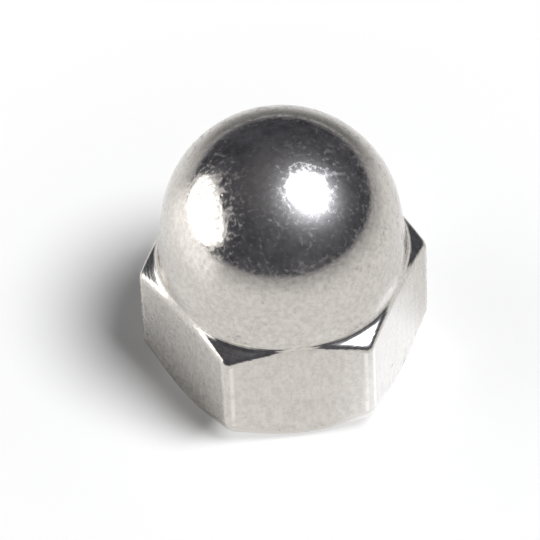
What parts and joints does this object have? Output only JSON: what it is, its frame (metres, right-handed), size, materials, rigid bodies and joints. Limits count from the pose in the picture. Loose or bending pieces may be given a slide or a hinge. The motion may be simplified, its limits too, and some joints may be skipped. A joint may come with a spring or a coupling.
{
  "type": "cap nut",
  "caption": "Domed hexagon cap nut with a blind tapped hole: it screws onto a bolt or stud and covers its end.",
  "frame": {"origin": "centre of the thread's mouth, on the flat seat that bears on the work", "axes": "+Z along the thread's axis, from the seat towards the dome; +X through two corners of the hexagon, so two of its flats face -Y and +Y"},
  "size_m": [0.0114, 0.01, 0.012],
  "materials": {
    "polished_steel": "polished"
  },
  "bodies": {
    "root": {"cap_nut": "polished_steel"}
  },
  "joints": []
}
